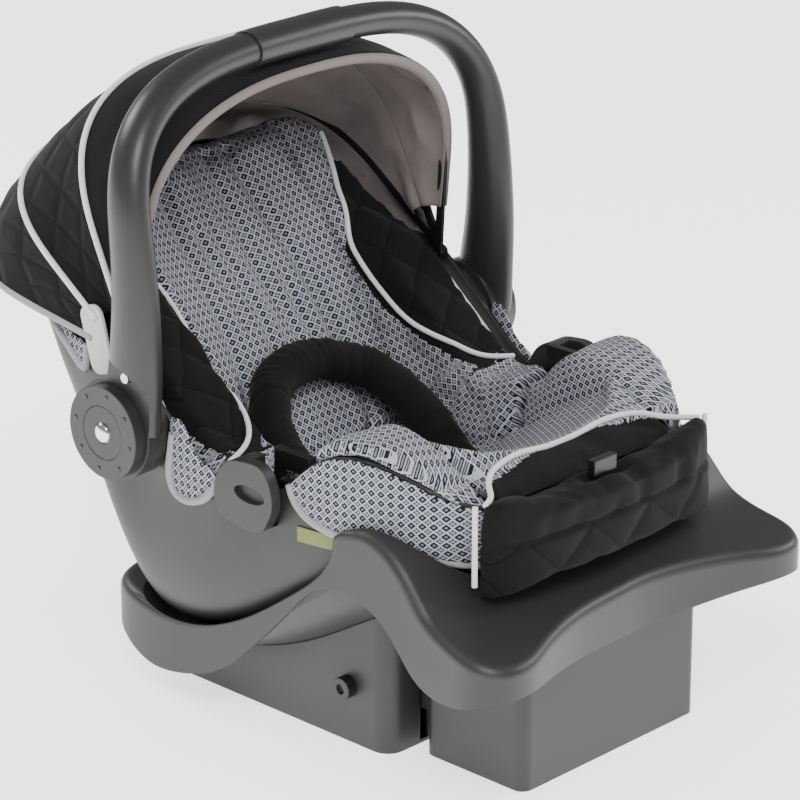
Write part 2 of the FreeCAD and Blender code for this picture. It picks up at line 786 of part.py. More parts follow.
shellSide = "(carrierWidth / 2)"
for side, sign in sides:
    # a light plate at the canopy pivot, outside the shell and inside the handle arm
    body, sketch = sketchBody(f"Bracket{side}", "YZ_Plane")
    drawRectangle(sketch, "26", "58")
    plate = pad(body, sketch, "2.6", backwards=sign < 0)
    doc.recompute()
    rounding = body.newObject("PartDesign::Fillet", f"BracketRound{side}")
    rounding.Base = (plate, [f"Edge{index + 1}" for index, edge in enumerate(plate.Shape.Edges)
                             if edge.BoundBox.XLength > 2.5])
    rounding.Radius = 10
    place(body, f"{sign} * ({shellSide} + 4 * gap)", "canopyY + 36", "canopyHeight + 6",
          (1, 0, 0), -16)
    finish(body, f"canopy_bracket_{side}")

    shank = rod(f"Bolt{side}", "boltRadius", "armGap + armThickness + shellWall + 14",
                f"{sign} * ({shellSide} - shellWall - 12)", "hubY", "hubHeight", (sign, 0, 0))
    head = rod(f"BoltHead{side}", "boltHeadRadius", "hubCapThickness - 1",
               f"{sign} * ({shellSide} + armGap + armThickness + gap)", "hubY", "hubHeight",
               (sign, 0, 0))
    nut = rod(f"BoltNut{side}", "boltHeadRadius", "7",
              f"{sign} * ({shellSide} - shellWall - gap)", "hubY", "hubHeight", (-sign, 0, 0))
    finish(join(f"PivotBolt{side}", shank, head, nut), f"pivot_bolt_{side}")


def levelLabel():
    """A thin tilt indicator strip on the shell's side, above the deck."""
    skin = hull(-0.9).cut(hull(-gap))
    return largest(skin.common(slab((-260, -150, 187), (-60, -114, 200))))


finish(solid("LevelLabel", levelLabel()), "level_label")


def latchPawls(sign):
    """A pawl behind the rear latch bar, hanging from the shaft."""
    reach = pawlY - value["rearBarY"] - value["latchBarRadius"] - 1.0
    outline = ((pawlY, pawlZ + 7), (pawlY - reach, pawlZ + 3), (pawlY - reach, pawlZ - 16),
               (pawlY - reach + 8, pawlZ - 18), (pawlY + 6, pawlZ - 6), (pawlY + 7, pawlZ + 2))
    start = min(sign * pawlInner, sign * (pawlInner + pawlBreadth))
    plate = sidePiece(outline, start, start + pawlBreadth)
    return plate.cut(acrossX(pawlY, pawlZ, pawlShaftRadius))


for side, sign in sides:
    finish(solid(f"Pawl{side}", latchPawls(sign)), f"latch_pawl_{side}")
shaftReach = pawlInner + pawlBreadth + 10
finish(rod("PawlShaft", str(pawlShaftRadius), str(2 * shaftReach), str(-shaftReach), str(pawlY),
           str(pawlZ)), "latch_shaft")


# ---------------------------------------------------------------- harness



# ---------------------------------------------------------------- handle

armCentre = (value["carrierWidth"] + value["archClear"]) / 2
armSide = half + value["armGap"]


def handleLean(z):
    """Where the arm's centre line runs, front to rear, at a height."""
    rise = (z - value["hubHeight"]) / 100
    return value["hubY"] - 13.5 - 19.25 * rise + 9.23 * rise ** 2


def archPoint(turn):
    """The centre line over the arch, from one side (0) to the other (pi)."""
    across = -math.copysign(abs(math.cos(turn)) ** (2 / 3.4), math.cos(turn))
    lift = abs(round(math.sin(turn), 12)) ** (2 / 2.6)
    z = value["archSpring"] + (value["gripHeight"] - value["archSpring"]) * lift
    return vector(armCentre * across, handleLean(z), z)


def handleLine():
    """Points along the handle: up one arm, over the arch and down the other."""
    heights = (value["hubHeight"] + 8, 282, 318, 360)
    arm = [vector(-armCentre, handleLean(z), z) for z in heights]
    over = [archPoint(math.pi * step / 20) for step in range(21)]
    other = [vector(-point.x, point.y, point.z) for point in reversed(arm)]
    return arm + over + other


def handleTube(swell, points):
    """An oval tube along the handle, wide at the hubs and slim at the grip."""
    wires = []
    for index, point in enumerate(points):
        before = points[max(index - 1, 0)]
        after = points[min(index + 1, len(points) - 1)]
        along = (after - before).normalize()
        front = vector(0, 1, 0)
        front = (front - along * front.dot(along)).normalize()
        share = (point.z - value["hubHeight"]) / (value["gripHeight"] - value["hubHeight"])
        depth = 17.0 + swell + 15.0 * (1 - share) ** 1.6
        across = 13.7 + swell + 0.9 * (1 - share)
        oval = Part.Ellipse(point + front * depth, point + along.cross(front) * across, point)
        wires.append(Part.Wire(oval.toShape()))
    return Part.makeLoft(wires, True, False)


def handleFrame():
    shape = handleTube(0, handleLine())
    for side, sign in sides:
        shape = shape.fuse(hubAxis(sign, armSide, value["armThickness"], value["hubRadius"]))
        inner = hubAxis(sign, half - 60, 60 + value["armGap"], 130)
        shape = shape.cut(inner)
        shape = shape.cut(hubAxis(sign, armSide + value["armThickness"], 60, 60))
        shape = shape.cut(hubAxis(sign, half - 30, 80, value["boltRadius"] + value["runningGap"]))
    return shape


frame = handleFrame()
gripSpace = slab((-value["gripLength"] / 2, -100, 400), (value["gripLength"] / 2, 200, 600))
over = [archPoint(math.pi * step / 20) for step in range(5, 16)]
grip = handleTube(value["gripSwell"], over).common(gripSpace)
finish(solid("Grip", grip.cut(frame)), "handle_grip")


def armScrews():
    """One screw in each arm's face, drawn as a head that stands just proud."""
    y = handleLean(value["hubHeight"] + 49) + 2
    heads = [Part.makeCylinder(4.2, 6, vector(sign * (armSide + value["armThickness"] - 3), y,
                                              value["hubHeight"] + 49), vector(sign, 0, 0))
             for side, sign in sides]
    return Part.makeCompound(heads)


def lockWindows():
    y = handleLean(value["hubHeight"] + 70)
    bars = [slab((sign * (armSide + 19) - 3, y - 4, value["hubHeight"] + 64),
                 (sign * (armSide + 19) + 3, y + 4, value["hubHeight"] + 76))
            for side, sign in sides]
    return Part.makeCompound(bars)


screws = armScrews()
windows = lockWindows()
finish(solid("Screws", screws), "arm_screws")
finish(solid("Windows", windows), "lock_windows")
finish(solid("Frame", frame.cut(screws).cut(windows)), "handle_frame")

hubFace = "(carrierWidth / 2 + armGap + armThickness)"
for side, sign in sides:
    body, sketch = sketchBody(f"HubCap{side}", "YZ_Plane")
    drawCircle(sketch, "hubCapRadius")
    pad(body, sketch, "hubCapThickness", backwards=sign < 0)
    well = secondSketch(body, f"HubWell{side}", "YZ_Plane")
    drawCircle(well, "buttonRadius + gap")
    doc.recompute()
    pocket(body, well, "hubCapThickness", backwards=sign > 0)
    place(body, f"{sign} * ({hubFace} + gap / 3)", "hubY", "hubHeight")
    finish(body, f"hub_cap_{side}")

    body, sketch = sketchBody(f"Button{side}", "YZ_Plane")
    drawCircle(sketch, "buttonRadius")
    pad(body, sketch, "hubCapThickness - buttonTravel - 1", backwards=sign < 0)
    bore = secondSketch(body, f"ButtonBore{side}", "YZ_Plane")
    drawCircle(bore, "boltHeadRadius + gap")
    doc.recompute()
    pocket(body, bore, "hubCapThickness", backwards=sign > 0)
    place(body, f"{sign} * ({hubFace} + buttonTravel + 1)", "hubY", "hubHeight")
    finish(body, f"handle_button_{side}")


# ---------------------------------------------------------------- canopy

def bowPlane(shape, lean):
    """Tilt an outline drawn upright over the pivot to its bow's lean behind upright."""
    moved = shape.copy()
    moved.rotate(vector(), vector(1, 0, 0), -lean)
    moved.translate(vector(0, value["canopyY"], value["canopyHeight"]))
    return moved


def archWire(width, reach, start, squareness):
    """Half an arch over the pivot, closed along its foot."""
    spring = reach * 0.40
    points = []
    for step in range(17):
        turn = math.pi * step / 16
        across = math.copysign(abs(math.cos(turn)) ** (2 / squareness), math.cos(turn))
        lift = abs(round(math.sin(turn), 12)) ** (2 / squareness)
        points.append((width * across, 0, spring + (reach - spring) * lift))
    return Part.Wire([
        segment((width, 0, start), (width, 0, spring)),
        smooth(points),
        segment((-width, 0, spring), (-width, 0, start)),
        segment((-width, 0, start), (width, 0, start)),
    ])


bowStart = 0.0
bowDrop = (1.5, 4.5, 4.5)     # the taut cloth cuts the corner between two bows
bowSide = 2.0
eyeletRadius = 4.6
clothStart = 42.0
bowStep = value["bowThickness"] + gap + 0.1
bows = (
    ("front", value["frontBowWidth"] / 2, value["frontBowReach"], value["frontBowLean"], 2.5),
    ("middle", value["frontBowWidth"] / 2 + bowStep, value["middleBowReach"],
     value["middleBowLean"], 2.8),
    ("rear", value["frontBowWidth"] / 2 + 2 * bowStep, value["rearBowReach"],
     value["rearBowLean"], 3.0),
)
for name, width, reach, lean, squareness in bows:
    thick = value["bowThickness"]
    outer = Part.Face(archWire(width, reach, bowStart, squareness))
    inner = Part.Face(archWire(width - thick, reach - thick, bowStart - 5, squareness))
    strap = outer.cut(inner).extrude(vector(0, value["bowBreadth"], 0))
    strap.translate(vector(0, -value["bowBreadth"] / 2, 0))
    for foot in (-width, width - thick):
        eyelet = Part.makeCylinder(eyeletRadius, thick, vector(foot, 0, 0), vector(1, 0, 0))
        strap = strap.fuse(eyelet)
    strap = strap.cut(Part.makeCylinder(2, 500, vector(-250, 0, 0), vector(1, 0, 0)))
    finish(solid(f"Bow{name}", bowPlane(strap, lean)), f"canopy_bow_{name}")

cloth = value["clothThickness"]
seams = [(width + gap + cloth + bowSide, reach + gap + cloth + drop, lean, squareness)
         for drop, (name, width, reach, lean, squareness) in zip(bowDrop, bows)]
seams[2] = (half + gap + cloth, *seams[2][1:])
seams.append((half + gap + cloth, value["hemReach"], value["hemLean"], 3.3))
bracketSpace = slab((-300, 80, 262), (300, 122, 346))


def clothPanel(stations, drop):
    """The space under the cloth from seam to seam, drawn in by a drop."""
    wires = []
    for width, reach, lean, squareness in stations:
        outline = archWire(width - drop, reach - drop, clothStart - drop, squareness)
        wires.append(bowPlane(outline, lean))
    return Part.makeLoft(wires, True, True)


def leaned(seam, extra):
    width, reach, lean, squareness = seam
    return width, reach, lean + extra, squareness


# the rear panel bulges round the head end of the shell
bulge = (half + gap + cloth, value["hemReach"] - 1, (value["rearBowLean"] + value["hemLean"]) / 2, 3.2)
between = {"front": [], "middle": [], "rear": [bulge]}
for index, name in enumerate(between):
    first = seams[index]
    last = seams[index + 1]
    middle = between[name]
    outside = clothPanel([leaned(first, 0.15), *middle, leaned(last, -0.15)], 0)
    panel = outside.cut(clothPanel([leaned(first, -1), *middle, leaned(last, 1)], cloth))
    panel = largest(panel.cut(bracketSpace))
    finish(solid(f"Panel{name}", panel), f"canopy_panel_{name}")


# ---------------------------------------------------------------- release lever

leverSlope = 26.0      # degrees that the shell's back leans behind upright at the lever
lever = block("Lever", "92", "9", "34", "0", "0", "0")
place(lever, "-46", f"{alongY(0.80)}", "268", (1, 0, 0), -leverSlope)
finish(lever, "release_lever")


# ---------------------------------------------------------------- check and write

doc.recompute()
for item in doc.Objects:
    if "Invalid" in item.State or "Error" in item.State:
        raise RuntimeError(f"{item.Label} failed: {item.State}")
for item in finished:
    if item.Shape.isNull() or not item.Shape.isValid() or not item.Shape.Solids:
        raise RuntimeError(f"{item.Label} has no valid solid")
os.makedirs("parts", exist_ok=True)
for item in finished:
    item.Shape.exportStep(f"parts/{item.Label}.step")
    print(item.Label, len(item.Shape.Solids), round(item.Shape.Volume / 1000, 1), "cm3")
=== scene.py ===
import math
import bpy
import numpy as np
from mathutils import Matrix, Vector, noise
from mathutils.bvhtree import BVHTree


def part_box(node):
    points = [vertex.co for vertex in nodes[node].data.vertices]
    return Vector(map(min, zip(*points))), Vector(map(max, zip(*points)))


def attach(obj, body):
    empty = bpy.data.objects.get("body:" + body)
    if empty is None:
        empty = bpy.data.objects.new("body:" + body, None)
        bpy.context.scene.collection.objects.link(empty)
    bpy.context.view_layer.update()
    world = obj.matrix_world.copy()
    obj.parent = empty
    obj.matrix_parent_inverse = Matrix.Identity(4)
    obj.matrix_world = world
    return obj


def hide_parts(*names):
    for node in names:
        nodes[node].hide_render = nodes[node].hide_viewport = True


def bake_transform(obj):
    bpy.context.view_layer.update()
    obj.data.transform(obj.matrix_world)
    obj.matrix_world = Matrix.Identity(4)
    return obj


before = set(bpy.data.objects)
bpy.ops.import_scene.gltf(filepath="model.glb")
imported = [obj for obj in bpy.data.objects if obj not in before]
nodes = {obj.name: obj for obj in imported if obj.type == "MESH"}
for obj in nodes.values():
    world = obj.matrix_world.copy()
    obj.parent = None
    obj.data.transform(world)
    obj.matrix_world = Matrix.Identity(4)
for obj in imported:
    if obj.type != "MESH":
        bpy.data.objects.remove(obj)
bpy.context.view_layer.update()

scene = bpy.context.scene


# ---- materials

class Recipe:
    # a new material with its shader and short ways to add nodes
    def __init__(self, name, colour, rough):
        self.material = bpy.data.materials.new(name)
        self.material.use_nodes = True
        self.tree = self.material.node_tree
        self.shader = self.tree.nodes["Principled BSDF"]
        self.shader.inputs["Base Color"].default_value = (*colour, 1)
        self.shader.inputs["Roughness"].default_value = rough

    def node(self, kind, **values):
        made = self.tree.nodes.new(kind)
        for key, value in values.items():
            if key in made.inputs:
                made.inputs[key].default_value = value
            else:
                setattr(made, key, value)
        return made

    def link(self, out, into):
        self.tree.links.new(out, into)

    def calc(self, operation, first, second=0.0):
        made = self.node("ShaderNodeMath", operation=operation)
        for index, value in enumerate((first, second)):
            if isinstance(value, (int, float)):
                made.inputs[index].default_value = value
            else:
                self.link(value, made.inputs[index])
        return made.outputs[0]

    def mix(self, factor, first, second):
        made = self.node("ShaderNodeMix", data_type="RGBA")
        self.link(factor, made.inputs[0])
        for index, value in ((6, first), (7, second)):
            if isinstance(value, tuple):
                made.inputs[index].default_value = (*value, 1)
            else:
                self.link(value, made.inputs[index])
        return made.outputs[2]

    def bump(self, height, strength, distance, under=None):
        made = self.node("ShaderNodeBump", Strength=strength, Distance=distance)
        self.link(height, made.inputs["Height"])
        if under is not None:
            self.link(under, made.inputs["Normal"])
        self.link(made.outputs[0], self.shader.inputs["Normal"])
        return made.outputs[0]

    def grain(self, scale, detail=2.0):
        place = self.node("ShaderNodeTexCoord")
        made = self.node("ShaderNodeTexNoise", Scale=scale, Detail=detail)
        self.link(place.outputs["Object"], made.inputs["Vector"])
        return made.outputs[0]


def plastic(name, colour, rough, grain=0.10, scale=1400):
    recipe = Recipe(name, colour, rough)
    softened = recipe.node("ShaderNodeBevel", samples=6, Radius=0.0016)
    recipe.bump(recipe.grain(scale), grain, 0.0004, softened.outputs[0])
    broad = recipe.grain(9, 3)
    rub = recipe.calc("MULTIPLY_ADD", broad, 0.16)
    rub.node.inputs[2].default_value = rough - 0.08
    recipe.link(rub, recipe.shader.inputs["Roughness"])
    return recipe.material


def metal(name, colour, rough):
    recipe = Recipe(name, colour, rough)
    recipe.shader.inputs["Metallic"].default_value = 1
    recipe.bump(recipe.grain(700), 0.05, 0.0003)
    return recipe.material


def flatCoords(recipe, pitch):
    place = recipe.node("ShaderNodeUVMap", uv_map="flat")
    split = recipe.node("ShaderNodeSeparateXYZ")
    recipe.link(place.outputs[0], split.inputs[0])
    return [recipe.calc("DIVIDE", split.outputs[index], pitch) for index in (0, 1)]


def weave(recipe, strength=0.35, under=None):
    place = recipe.node("ShaderNodeTexCoord")
    threads = []
    for axis in ("X", "Z"):
        wave = recipe.node("ShaderNodeTexWave", bands_direction=axis, Scale=260, Distortion=1.5)
        recipe.link(place.outputs["Object"], wave.inputs["Vector"])
        threads.append(wave.outputs[1])
    both = recipe.calc("ADD", *threads)
    return recipe.bump(both, strength, 0.0003, under)


def cloth(name, colour, rough=0.92, sheen=0.25):
    recipe = Recipe(name, colour, rough)
    recipe.shader.inputs["Sheen Weight"].default_value = sheen
    recipe.shader.inputs["Sheen Roughness"].default_value = 0.5
    recipe.shader.inputs["Specular IOR Level"].default_value = 0.12
    return recipe


def plainCloth(name, colour, mottle=0.18, sheen=0.05):
    recipe = cloth(name, colour, sheen=sheen)
    cloudy = recipe.grain(38, 4)
    darker = tuple(part * (1 - mottle) for part in colour)
    lighter = tuple(part * (1 + mottle) for part in colour)
    recipe.link(recipe.mix(cloudy, darker, lighter), recipe.shader.inputs["Base Color"])
    weave(recipe)
    return recipe.material


def quiltCloth(name, colour, pitch):
    recipe = cloth(name, colour, sheen=0.04)
    u, v = flatCoords(recipe, pitch)
    lines = []
    for joined in (recipe.calc("ADD", u, v), recipe.calc("SUBTRACT", u, v)):
        share = recipe.calc("FRACT", joined)
        lines.append(recipe.calc("ABSOLUTE", recipe.calc("SUBTRACT", share, 0.5)))
    nearest = recipe.calc("MINIMUM", *lines)
    puff = recipe.calc("MINIMUM", recipe.calc("MULTIPLY", nearest, 5.0), 1.0)
    raised = recipe.bump(puff, 0.5, 0.0022)
    stitch = recipe.calc("LESS_THAN", nearest, 0.018)
    recipe.link(recipe.mix(stitch, colour, tuple(part * 0.45 for part in colour)),
                recipe.shader.inputs["Base Color"])
    weave(recipe, 0.3, raised)
    return recipe.material


def printCloth(name, pitch):
    # a dark square ring standing on its corner in each cell, grey petals between the rings
    recipe = cloth(name, (0.17, 0.175, 0.19), sheen=0.03)
    u, v = flatCoords(recipe, pitch)
    a, b = [recipe.calc("ABSOLUTE", recipe.calc("SUBTRACT", recipe.calc("FRACT", part), 0.5))
            for part in (u, v)]
    square = recipe.calc("ADD", a, b)
    ring = recipe.calc("COMPARE", square, 0.285)
    ring.node.inputs[2].default_value = 0.122
    middle = recipe.calc("LESS_THAN", square, 0.18)
    corner = recipe.calc("SUBTRACT", 1.0, square)
    petal = recipe.calc("LESS_THAN", corner, 0.36)
    apart = recipe.calc("ABSOLUTE", recipe.calc("SUBTRACT", a, b))
    petals = recipe.calc("MULTIPLY", petal, recipe.calc("GREATER_THAN", apart, 0.045))
    ground = recipe.mix(petals, (0.345, 0.35, 0.375), (0.055, 0.058, 0.075))
    inner = recipe.mix(middle, ground, (0.17, 0.175, 0.21))
    whole = recipe.mix(ring, inner, (0.008, 0.009, 0.017))
    recipe.link(whole, recipe.shader.inputs["Base Color"])
    weave(recipe, 0.25)
    return recipe.material


shellGrey = plastic("shell_plastic", (0.019, 0.0186, 0.0178), 0.46)
handleGrey = plastic("handle_plastic", (0.017, 0.0166, 0.016), 0.40)
blackPlastic = plastic("black_plastic", (0.006, 0.006, 0.006), 0.34)
palePlastic = plastic("pale_plastic", (0.46, 0.46, 0.48), 0.42)
greenPlastic = plastic("green_plastic", (0.05, 0.28, 0.03), 0.25)
stripPlastic = plastic("level_strip", (0.13, 0.15, 0.03), 0.30)
foamWhite = plastic("foam", (0.75, 0.75, 0.73), 0.8, 0.4, 400)
steel = metal("steel", (0.62, 0.62, 0.62), 0.28)
chrome = metal("bright_dome", (0.80, 0.80, 0.80), 0.16)
printed = printCloth("print_fabric", 0.0075)
blackThread = (0.0065, 0.0062, 0.006)
quiltPitch = {"wing": 0.052, "foot": 0.070}
quilted = quiltCloth("black_quilt", blackThread, quiltPitch["wing"])
quiltedFoot = quiltCloth("black_quilt_small", blackThread, quiltPitch["foot"])
blackCloth = plainCloth("black_fabric", blackThread)
lining = plainCloth("lining_fabric", (0.165, 0.143, 0.138), 0.10)
whitePiping = plainCloth("white_piping", (0.62, 0.62, 0.65), 0.06)
greyBinding = plainCloth("grey_binding", (0.27, 0.26, 0.28), 0.08)
print("materials ready")

carried = {
    "base_tub": shellGrey, "base_deck": shellGrey, "recline_foot": shellGrey,
    "carrier_shell": shellGrey, "belt_guide_left": shellGrey, "belt_guide_right": shellGrey,
    "recline_knob_left": blackPlastic, "recline_knob_right": blackPlastic,
    "release_lever": shellGrey, "handle_frame": handleGrey, "handle_grip": handleGrey,
    "hub_cap_left": handleGrey, "hub_cap_right": handleGrey,
    "handle_button_left": handleGrey, "handle_button_right": handleGrey,
    "belt_hook_left": blackPlastic, "belt_hook_right": blackPlastic,
    "canopy_bow_front": blackPlastic, "canopy_bow_middle": blackPlastic,
    "canopy_bow_rear": blackPlastic, "canopy_bracket_left": palePlastic,
    "canopy_bracket_right": palePlastic, "lock_windows": greenPlastic,
    "level_label": stripPlastic, "foam_liner": foamWhite, "arm_screws": steel,
    "pivot_bolt_left": steel, "pivot_bolt_right": steel, "recline_axle": steel,
    "latch_bar_rear": steel, "latch_bar_front": steel, "latch_shaft": steel,
    "latch_pawl_left": steel, "latch_pawl_right": steel,
}
for name, material in carried.items():
    if name in nodes:
        for place in nodes[name].material_slots:
            place.material = material
        if not nodes[name].material_slots:
            nodes[name].data.materials.append(material)


# ---- shared ways of making pieces

pipeRadius = {"wing": 0.0023, "foot": 0.0024, "canopy": 0.0026, "binding": 0.0034, "hem": 0.0036}


def newPiece(name, mesh, body):
    piece = bpy.data.objects.new(name, mesh)
    scene.collection.objects.link(piece)
    if body:
        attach(piece, body)
    return piece


def points(mesh):
    found = np.empty(len(mesh.vertices) * 3)
    mesh.vertices.foreach_get("co", found)
    return found.reshape(-1, 3)


def normals(mesh):
    found = np.empty(len(mesh.vertices) * 3)
    mesh.vertex_normals.foreach_get("vector", found)
    return found.reshape(-1, 3)


def setPoints(mesh, moved):
    mesh.vertices.foreach_set("co", np.asarray(moved, float).ravel())
    mesh.update()


def settled(piece):
    # what the modifiers make becomes the mesh itself
    piece.update_tag()
    graph = bpy.context.evaluated_depsgraph_get()
    mesh = bpy.data.meshes.new_from_object(piece.evaluated_get(graph))
    piece.modifiers.clear()
    piece.data = mesh
    return mesh


def cloudy(spots, scale, seed):
    shift = Vector((seed * 3.1, seed * 7.7, seed * 1.3))
    return np.array([noise.noise(Vector(spot * scale) + shift) for spot in spots])


def inflate(piece, pressure, limit):
    # a short cloth run with pressure swells the pad between its seams
    start = points(piece.data)
    soft = piece.modifiers.new("swell", "CLOTH")
    soft.settings.quality = 4
    soft.settings.mass = 0.4
    soft.settings.tension_stiffness = 12
    soft.settings.compression_stiffness = 12
    soft.settings.shear_stiffness = 6
    soft.settings.bending_stiffness = 0.6
    soft.settings.use_pressure = True
    soft.settings.uniform_pressure_force = pressure
    soft.settings.effector_weights.gravity = 0
    soft.point_cache.frame_start = 1
    soft.point_cache.frame_end = 20
    for step in range(1, 21):
        scene.frame_set(step)
    mesh = settled(piece)
    moved = points(mesh) - start
    far = np.linalg.norm(moved, axis=1)
    share = np.minimum(1.0, limit / np.maximum(far, 1e-9))
    setPoints(mesh, start + moved * share[:, None])
    scene.frame_set(1)


def runAlong(line):
    # the distance from a line's start to each of its points
    return np.concatenate([[0], np.cumsum(np.linalg.norm(np.diff(line, axis=0), axis=1))])


# the seat's middle line seen from the side, from foot to head
profile = np.array([
    (-0.300, 0.262), (-0.236, 0.252), (-0.204, 0.236), (-0.162, 0.214), (-0.115, 0.188),
    (-0.058, 0.158), (0.000, 0.156), (0.036, 0.185), (0.084, 0.256),
    (0.129, 0.312), (0.174, 0.362), (0.207, 0.398), (0.260, 0.460)])
profileRun = runAlong(profile)


def flatPlace(spots):
    # where each point lies on the flat cloth: across the seat, and along it from foot to head
    best = np.full(len(spots), 1e9)
    along = np.zeros(len(spots))
    for index in range(len(profile) - 1):
        start, end = profile[index], profile[index + 1]
        step = end - start
        share = np.clip(((spots[:, 1:] - start) @ step) / (step @ step), 0, 1)
        apart = np.linalg.norm(spots[:, 1:] - start - share[:, None] * step, axis=1)
        closer = apart < best
        best[closer] = apart[closer]
        along[closer] = profileRun[index] + share[closer] * np.linalg.norm(step)
    across = np.sign(spots[:, 0]) * (np.abs(spots[:, 0]) + best)
    return np.column_stack([across, along])


def layFlat(mesh, flat):
    chart = mesh.uv_layers.get("flat") or mesh.uv_layers.new(name="flat")
    corner = np.empty(len(mesh.loops), int)
    mesh.loops.foreach_get("vertex_index", corner)
    chart.data.foreach_set("uv", flat[corner].ravel())


def smoothMesh(mesh):
    mesh.polygons.foreach_set("use_smooth", [True] * len(mesh.polygons))
    mesh.update()


def stuffed(node, name, material, grid=0.005, pressure=4.0, limit=0.006, shrink=0.0015,
            dress=None, wrinkle=0.0012, chart=None):
    # a padded piece made from its plain solid: remeshed, swollen, then dressed with its creases
    piece = newPiece(name, nodes[node].data.copy(), "carrier")
    block = piece.modifiers.new("block", "REMESH")
    block.mode = "VOXEL"
    block.voxel_size = grid
    mesh = settled(piece)
    setPoints(mesh, points(mesh) - normals(mesh) * shrink)
    relax = piece.modifiers.new("relax", "SMOOTH")
    relax.factor = 0.5
    relax.iterations = 4
    settled(piece)
    inflate(piece, pressure, limit)
    finer = piece.modifiers.new("finer", "SUBSURF")
    finer.levels = finer.render_levels = 1
    mesh = settled(piece)
    spots = points(mesh)
    out = normals(mesh)
    flat = (chart or flatPlace)(spots)
    raised = cloudy(spots, 34, len(name)) * wrinkle
    if dress is not None:
        raised = raised + dress(spots, flat, out)
    setPoints(mesh, spots + out * raised[:, None])
    layFlat(mesh, flat)
    mesh.materials.clear()
    mesh.materials.append(material)
    smoothMesh(mesh)
    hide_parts(node)
    print("padded", name, len(mesh.polygons))
    return piece


def middlesOf(piece):
    return np.array([polygon.center for polygon in piece.data.polygons])


def partlyIn(piece, material, chosen):
    # the chosen faces take a second material
    piece.data.materials.append(material)
    piece.data.polygons.foreach_set("material_index", chosen.astype(int))


def tube(name, line, radius, material, body):
    curve = bpy.data.curves.new(name, "CURVE")
    curve.dimensions = "3D"
    curve.bevel_depth = radius
    curve.bevel_resolution = 4
    curve.resolution_u = 4
    curve.use_fill_caps = True
    spline = curve.splines.new("NURBS")
    spline.points.add(len(line) - 1)
    for spot, place in zip(spline.points, line):
        spot.co = (*place, 1)
    spline.order_u = 4
    spline.use_endpoint_u = True
    made = bpy.data.objects.new(name, curve)
    scene.collection.objects.link(made)
    graph = bpy.context.evaluated_depsgraph_get()
    mesh = bpy.data.meshes.new_from_object(made.evaluated_get(graph))
    bpy.data.objects.remove(made)
    mesh.materials.clear()
    mesh.materials.append(material)
    smoothMesh(mesh)
    return newPiece(name, mesh, body)


def box(name, low, high, material):
    spots = [(x, y, z) for x in (low[0], high[0]) for y in (low[1], high[1]) for z in (low[2], high[2])]
    mesh = bpy.data.meshes.new(name)
    sides = [(0, 1, 3, 2), (4, 6, 7, 5), (0, 4, 5, 1), (2, 3, 7, 6), (0, 2, 6, 4), (1, 5, 7, 3)]
    mesh.from_pydata(spots, [], sides)
    mesh.materials.append(material)
    made = bpy.data.objects.new(name, mesh)
    scene.collection.objects.link(made)
    return made


def evenly(line, step):
    line = np.array(line, float)
    run = runAlong(line)
    at = np.linspace(0, run[-1], max(3, int(run[-1] / step)))
    even = np.column_stack([np.interp(at, run, line[:, axis]) for axis in range(line.shape[1])])
    for turn in range(3):
        even[1:-1] = (even[:-2] + 2 * even[1:-1] + even[2:]) / 4
    return even


def surface(*pieces):
    corners = []
    faces = []
    for piece in pieces:
        mesh = piece.data
        base = len(corners)
        corners.extend(vertex.co.copy() for vertex in mesh.vertices)
        faces.extend([base + index for index in polygon.vertices] for polygon in mesh.polygons)
    return BVHTree.FromPolygons(corners, faces)


def castSide(tree, sidePoints, startX, way, stand):
    # the side view line laid onto a surface, looked at along X
    found = []
    for y, z in sidePoints:
        spot, normal, index, far = tree.ray_cast(Vector((startX, y, z)), Vector((way, 0, 0)))
        if spot is not None:
            found.append(spot - Vector((way, 0, 0)) * stand)
    return found


# ---- seat pad

def groove(flat, line, width, depth):
    # a sewn line or a crease pressed into the cloth, given across and along the seat
    line = np.array(line, float)
    nearest = np.full(len(flat), 1e9)
    for start, end in zip(line[:-1], line[1:]):
        step = end - start
        share = np.clip(((flat - start) @ step) / (step @ step), 0, 1)
        nearest = np.minimum(nearest, np.linalg.norm(flat - start - share[:, None] * step, axis=1))
    return -depth * np.exp(-(nearest / width) ** 2)


def puffs(flat, pitch, height):
    a = (flat[:, 0] + flat[:, 1]) / pitch
    b = (flat[:, 0] - flat[:, 1]) / pitch
    return height * (np.abs(np.sin(math.pi * (a - 0.5))) * np.abs(np.sin(math.pi * (b - 0.5)))) ** 0.5


def seamRun(share):
    return float(np.interp(share, profile[:, 0], profileRun))


hips = seamRun(0.04)
headEnd = seamRun(0.20)
backCreases = [
    ([(-0.062, hips + 0.02), (-0.060, hips + 0.12), (-0.046, headEnd)], 0.007, 0.006),
    ([(0.062, hips - 0.02), (0.064, hips + 0.10), (0.050, headEnd)], 0.007, 0.007),
    ([(-0.012, hips + 0.05), (-0.018, hips + 0.13), (-0.006, headEnd)], 0.006, 0.004),
    ([(0.022, hips + 0.08), (0.016, hips + 0.15), (0.026, headEnd)], 0.006, 0.005),
    ([(-0.034, hips + 0.10), (-0.030, hips + 0.19)], 0.005, 0.005),
    ([(0.040, hips + 0.05), (0.036, hips + 0.13)], 0.005, 0.005),
]


def dressBack(spots, flat, out):
    raised = cloudy(np.column_stack([flat[:, 0] * 2.2, flat[:, 1], flat[:, 0] * 0]), 22, 5) * 0.0022
    for line, width, depth in backCreases:
        raised += groove(flat, line, width, depth)
    return raised


def dressSeat(spots, flat, out):
    return cloudy(spots, 22, 8) * 0.0016


def dressWing(spots, flat, out):
    return puffs(flat, quiltPitch["wing"], 0.0026)


def dressBolster(spots, flat, out):
    return cloudy(spots, 26, 3) * 0.002


